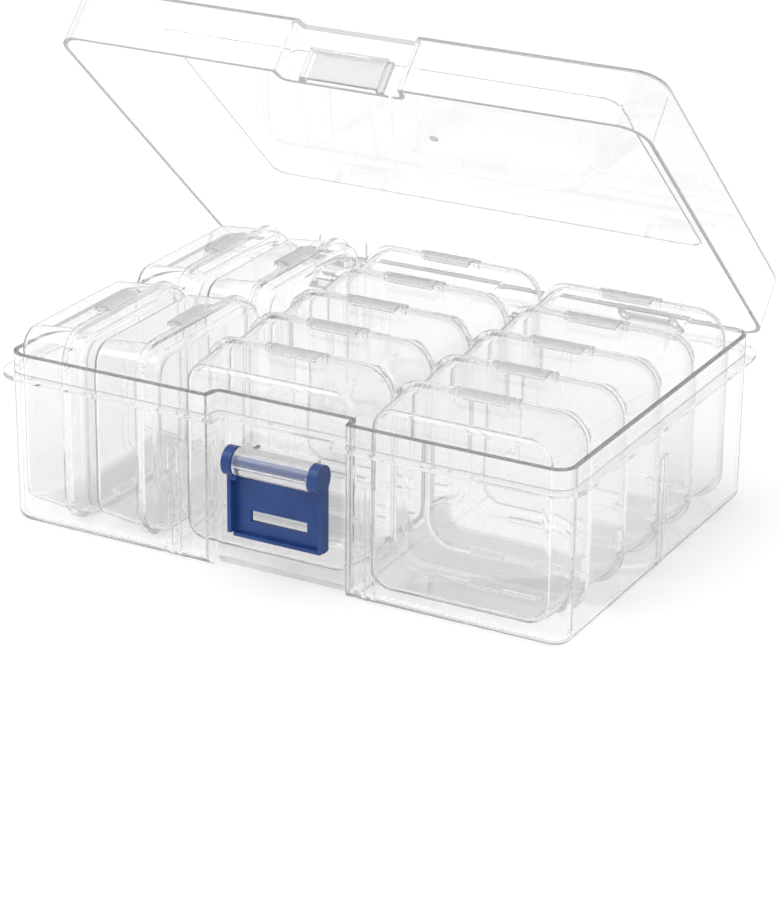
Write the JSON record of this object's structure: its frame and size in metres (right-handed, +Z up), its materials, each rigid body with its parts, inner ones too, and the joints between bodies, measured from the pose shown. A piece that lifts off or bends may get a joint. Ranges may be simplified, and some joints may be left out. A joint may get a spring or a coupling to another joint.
{
  "type": "bead storage box",
  "caption": "Clear hinged storage box with a blue front latch, filled with small clasped clear cases for beads, shown with its lid half open.",
  "frame": {"origin": "centre of the flat underside of the box body", "axes": "+X to the right seen from the latch side, +Y towards the hinge, +Z up"},
  "size_m": [0.2132, 0.1646, 0.1721],
  "materials": {
    "box_clear": "clear polypropylene, glossy",
    "lid_clear": "clear polypropylene, glossy",
    "case_clear": "clear polypropylene, glossy",
    "latch_blue": "opaque blue, satin"
  },
  "bodies": {
    "base": {"storage_base": "box_clear"},
    "lid": {"storage_lid": "lid_clear"},
    "latch": {"latch": "latch_blue"},
    "case_01": {"case_01_tub": "case_clear", "case_01_lid": "case_clear"},
    "case_02": {"case_02_tub": "case_clear", "case_02_lid": "case_clear"},
    "case_03": {"case_03_tub": "case_clear", "case_03_lid": "case_clear"},
    "case_04": {"case_04_tub": "case_clear", "case_04_lid": "case_clear"},
    "case_05": {"case_05_tub": "case_clear", "case_05_lid": "case_clear"},
    "case_06": {"case_06_tub": "case_clear", "case_06_lid": "case_clear"},
    "case_07": {"case_07_tub": "case_clear", "case_07_lid": "case_clear"},
    "case_08": {"case_08_tub": "case_clear", "case_08_lid": "case_clear"},
    "case_09": {"case_09_tub": "case_clear", "case_09_lid": "case_clear"},
    "case_10": {"case_10_tub": "case_clear", "case_10_lid": "case_clear"},
    "case_11": {"case_11_tub": "case_clear", "case_11_lid": "case_clear"},
    "case_12": {"case_12_tub": "case_clear", "case_12_lid": "case_clear"},
    "case_13": {"case_13_tub": "case_clear", "case_13_lid": "case_clear"},
    "case_14": {"case_14_tub": "case_clear", "case_14_lid": "case_clear"}
  },
  "joints": [
    {"name": "lid_hinge", "type": "hinge", "parent": "base", "child": "lid", "pos_m": [0, 0.07925, 0.0535], "axis": [-1, 0, 0], "range_deg": [-43, 68]},
    {"name": "latch_hinge", "type": "hinge", "parent": "base", "child": "latch", "pos_m": [0, -0.07115, 0.0395], "axis": [-1, 0, 0], "range_deg": [0, 180]},
    {"name": "case_01_lift", "type": "slide", "parent": "base", "child": "case_01", "axis": [0, 0, 1], "range_m": [0, 0.075]},
    {"name": "case_02_lift", "type": "slide", "parent": "base", "child": "case_02", "axis": [0, 0, 1], "range_m": [0, 0.075]},
    {"name": "case_03_lift", "type": "slide", "parent": "base", "child": "case_03", "axis": [0, 0, 1], "range_m": [0, 0.014]},
    {"name": "case_04_lift", "type": "slide", "parent": "base", "child": "case_04", "axis": [0, 0, 1], "range_m": [0, 0.014]},
    {"name": "case_05_lift", "type": "slide", "parent": "base", "child": "case_05", "axis": [0, 0, 1], "range_m": [0, 0.075]},
    {"name": "case_06_lift", "type": "slide", "parent": "base", "child": "case_06", "axis": [0, 0, 1], "range_m": [0, 0.075]},
    {"name": "case_07_lift", "type": "slide", "parent": "base", "child": "case_07", "axis": [0, 0, 1], "range_m": [0, 0.064]},
    {"name": "case_08_lift", "type": "slide", "parent": "base", "child": "case_08", "axis": [0, 0, 1], "range_m": [0, 0.039]},
    {"name": "case_09_lift", "type": "slide", "parent": "base", "child": "case_09", "axis": [0, 0, 1], "range_m": [0, 0.014]},
    {"name": "case_10_lift", "type": "slide", "parent": "base", "child": "case_10", "axis": [0, 0, 1], "range_m": [0, 0.075]},
    {"name": "case_11_lift", "type": "slide", "parent": "base", "child": "case_11", "axis": [0, 0, 1], "range_m": [0, 0.075]},
    {"name": "case_12_lift", "type": "slide", "parent": "base", "child": "case_12", "axis": [0, 0, 1], "range_m": [0, 0.068]},
    {"name": "case_13_lift", "type": "slide", "parent": "base", "child": "case_13", "axis": [0, 0, 1], "range_m": [0, 0.043]},
    {"name": "case_14_lift", "type": "slide", "parent": "base", "child": "case_14", "axis": [0, 0, 1], "range_m": [0, 0.018]}
  ]
}
